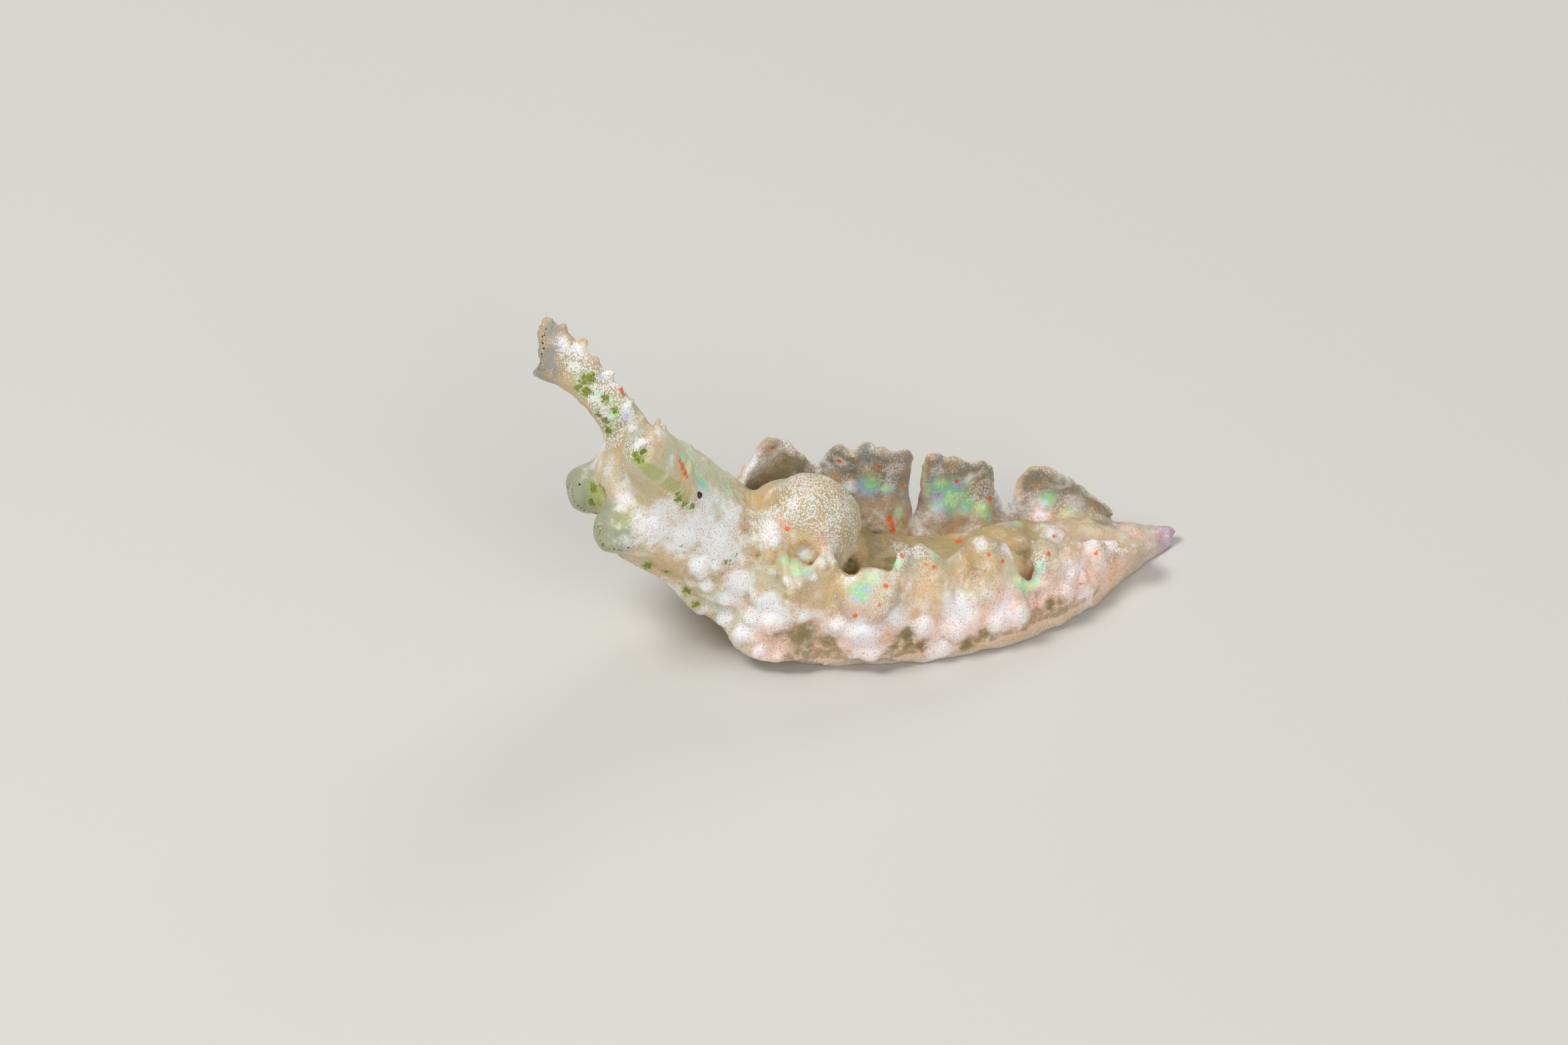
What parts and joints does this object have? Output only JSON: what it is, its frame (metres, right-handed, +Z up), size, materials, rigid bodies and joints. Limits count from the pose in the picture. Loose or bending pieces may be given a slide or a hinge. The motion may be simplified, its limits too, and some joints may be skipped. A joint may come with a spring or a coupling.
{
  "type": "sea slug",
  "caption": "Life-size still model of a small sacoglossan sea slug, foot flat, head raised with rolled feelers, side flaps folded over its back.",
  "frame": {"origin": "centre of the bounding box at the level of the floor that the sole rests on", "axes": "+X towards the tail, so the head faces -X; +Y towards the animal's right side; +Z up"},
  "size_m": [0.0114, 0.0046, 0.0063],
  "materials": {
    "skin": "moist translucent cream to peach skin with white frosting, fine red-brown speckles and olive-green patches",
    "foot": "moist, thin, glassy grey-pink edge over an olive-brown channel",
    "eye": "gloss black"
  },
  "bodies": {
    "root": {"head": "skin", "neck": "skin", "trunk_front": "skin", "trunk_rear": "skin", "tail": "skin", "foot_front": "foot", "foot_rear": "foot", "parapodium_left_front": "skin", "parapodium_left_mid": "skin", "parapodium_left_rear": "skin", "parapodium_right_front": "skin", "parapodium_right_mid": "skin", "parapodium_right_rear": "skin", "pericardial_hump": "skin", "oral_lobe_left": "skin", "oral_lobe_right": "skin", "rhinophore_left": "skin", "rhinophore_right": "skin", "eye_left": "eye", "eye_right": "eye"}
  },
  "joints": []
}
